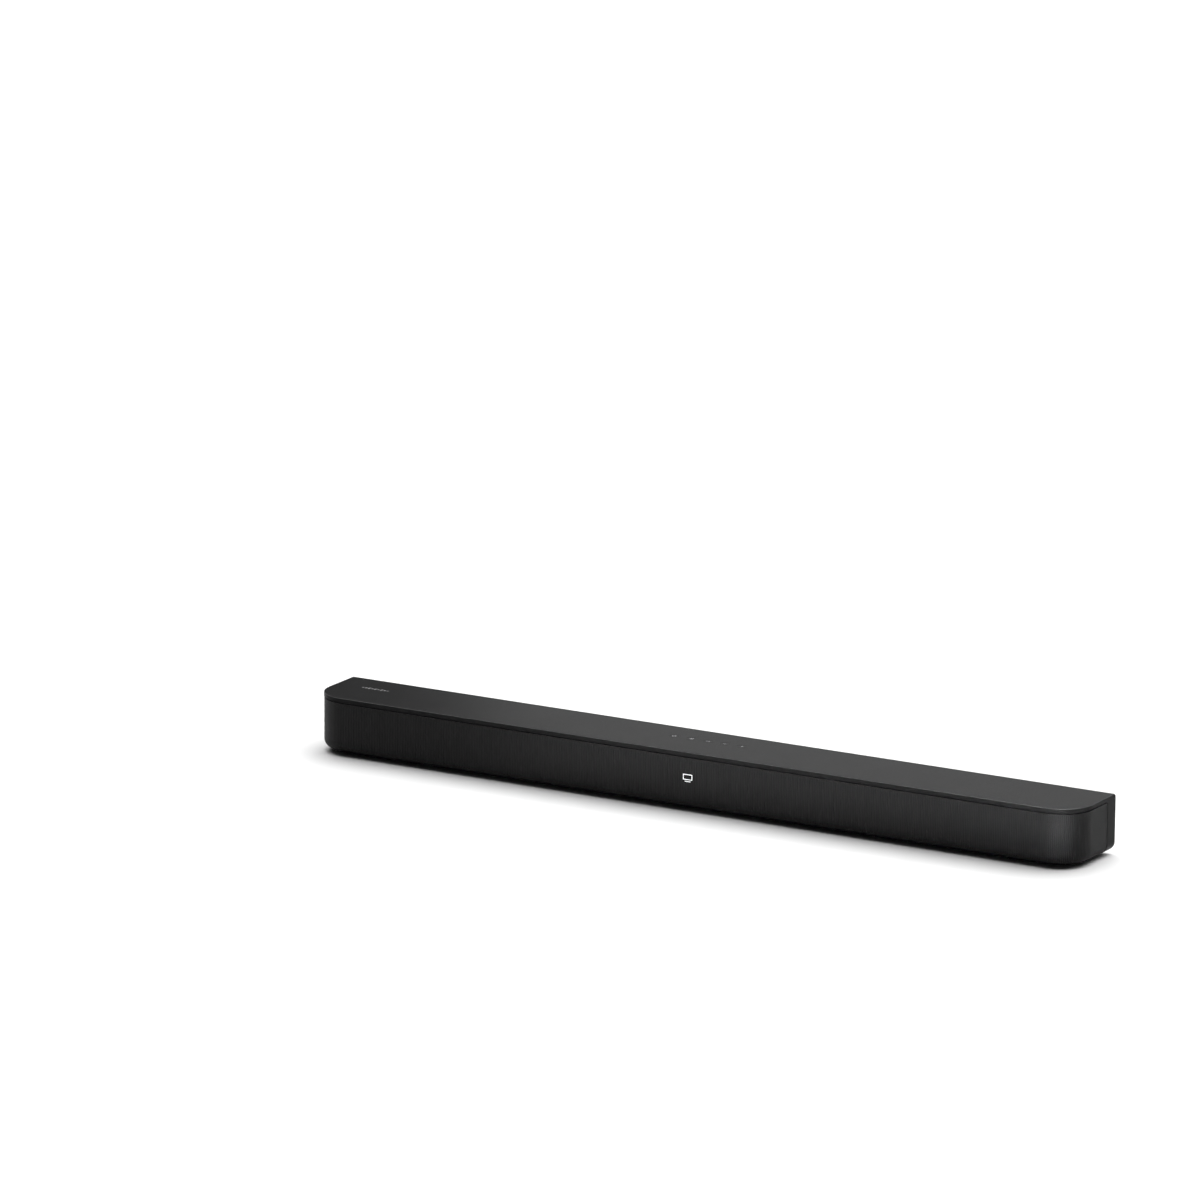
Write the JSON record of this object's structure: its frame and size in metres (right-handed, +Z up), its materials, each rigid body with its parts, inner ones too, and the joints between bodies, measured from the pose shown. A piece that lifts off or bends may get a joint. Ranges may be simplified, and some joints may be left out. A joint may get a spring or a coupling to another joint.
{
  "type": "soundbar",
  "caption": "Low rounded-front soundbar with a flat top cover, wrap-round slotted grille, push keys, sprung driver cones, rear sockets and wall keyholes.",
  "frame": {"origin": "on the floor under the middle of the bar's overall box", "axes": "+X to the listener's right along the bar, -Y towards the listener (grille side), +Z up"},
  "size_m": [0.9, 0.088, 0.064],
  "materials": {
    "cabinet_black": "fine satin grain",
    "cover_black": "matte grain",
    "grille_black": "satin powder coat",
    "scrim_cloth": "fine acoustic cloth",
    "frame_black": "matte",
    "socket_tray": "matte",
    "foot_rubber": "matte",
    "gasket_foam": "closed-cell foam",
    "screw_steel": "zinc plated",
    "mark_print": "pad print",
    "label_film": "satin film",
    "status_white": "lit diffuser",
    "display_black": "smoked window",
    "key_black": "fine satin grain",
    "board_green": "solder mask",
    "chip_black": "moulded",
    "heat_sink_alloy": "extruded",
    "capacitor_can": "sleeved can",
    "radio_board": "solder mask",
    "box_plastic": "moulded",
    "basket_steel": "black plated",
    "magnet_ferrite": "ground ferrite",
    "cone_paper": "pressed pulp",
    "coil_copper": "enamelled wire",
    "surround_rubber": "satin",
    "spider_cloth": "resin cloth",
    "damping_wool": "polyester wadding",
    "socket_steel": "nickel plated",
    "socket_black": "moulded",
    "pin_brass": "plated",
    "lead_rubber": "satin",
    "flat_cable_white": "satin film"
  },
  "bodies": {
    "cabinet": {"baskets": "basket_steel", "board_capacitors": "capacitor_can", "board_chips": "chip_black", "board_screws": "screw_steel", "bottom_cover": "cover_black", "box_seals": "gasket_foam", "bulk_capacitors": "capacitor_can", "cable_bay": "socket_tray", "cover_screws": "screw_steel", "damping_pads": "damping_wool", "display_board": "board_green", "display_module": "display_black", "driver_gaskets": "gasket_foam", "driver_screws": "screw_steel", "flat_cables": "flat_cable_white", "frame_screws": "screw_steel", "front_frame": "frame_black", "fuse": "chip_black", "grille": "grille_black", "heat_sink": "heat_sink_alloy", "inlet_bay": "socket_tray", "inlet_body": "socket_black", "inlet_pins": "pin_brass", "key_board": "board_green", "key_board_screws": "screw_steel", "key_switches": "chip_black", "left_spider": "spider_cloth", "left_surround": "surround_rubber", "level_mark": "mark_print", "magnets": "magnet_ferrite", "main_board": "board_green", "motor_steel": "basket_steel", "optical_socket": "socket_black", "output_coils": "chip_black", "power_board": "board_green", "power_leads": "lead_rubber", "rating_label": "label_film", "rear_panel": "cabinet_black", "remote_eye": "display_black", "right_spider": "spider_cloth", "right_surround": "surround_rubber", "rubber_feet": "foot_rubber", "scrim": "scrim_cloth", "service_socket": "socket_steel", "speaker_boxes": "box_plastic", "speaker_leads": "lead_rubber", "status_light": "status_white", "top_cover": "cabinet_black", "transformer": "chip_black", "video_socket": "socket_steel", "wireless_module": "radio_board"},
    "left_diaphragm": {"left_cone": "cone_paper", "left_coil": "coil_copper"},
    "right_diaphragm": {"right_cone": "cone_paper", "right_coil": "coil_copper"},
    "power_push": {"power_key": "key_black"},
    "input_push": {"input_key": "key_black"},
    "pairing_push": {"pairing_key": "key_black"},
    "volume_down_push": {"volume_down_key": "key_black"},
    "volume_up_push": {"volume_up_key": "key_black"}
  },
  "joints": [
    {"name": "power_key_travel", "type": "slide", "parent": "cabinet", "child": "power_push", "axis": [0, 0, -1], "range_m": [0, 0.0004], "stiffness_N_per_m": 600, "springref_m": -0.0004},
    {"name": "input_key_travel", "type": "slide", "parent": "cabinet", "child": "input_push", "axis": [0, 0, -1], "range_m": [0, 0.0004], "stiffness_N_per_m": 600, "springref_m": -0.0004},
    {"name": "pairing_key_travel", "type": "slide", "parent": "cabinet", "child": "pairing_push", "axis": [0, 0, -1], "range_m": [0, 0.0004], "stiffness_N_per_m": 600, "springref_m": -0.0004},
    {"name": "volume_down_key_travel", "type": "slide", "parent": "cabinet", "child": "volume_down_push", "axis": [0, 0, -1], "range_m": [0, 0.0004], "stiffness_N_per_m": 600, "springref_m": -0.0004},
    {"name": "volume_up_key_travel", "type": "slide", "parent": "cabinet", "child": "volume_up_push", "axis": [0, 0, -1], "range_m": [0, 0.0004], "stiffness_N_per_m": 600, "springref_m": -0.0004},
    {"name": "left_cone_travel", "type": "slide", "parent": "cabinet", "child": "left_diaphragm", "axis": [0, -1, 0], "range_m": [-0.0015, 0.0015], "stiffness_N_per_m": 1500, "deforming": ["left_surround", "left_spider"]},
    {"name": "right_cone_travel", "type": "slide", "parent": "cabinet", "child": "right_diaphragm", "axis": [0, -1, 0], "range_m": [-0.0015, 0.0015], "stiffness_N_per_m": 1500, "deforming": ["right_surround", "right_spider"]}
  ]
}
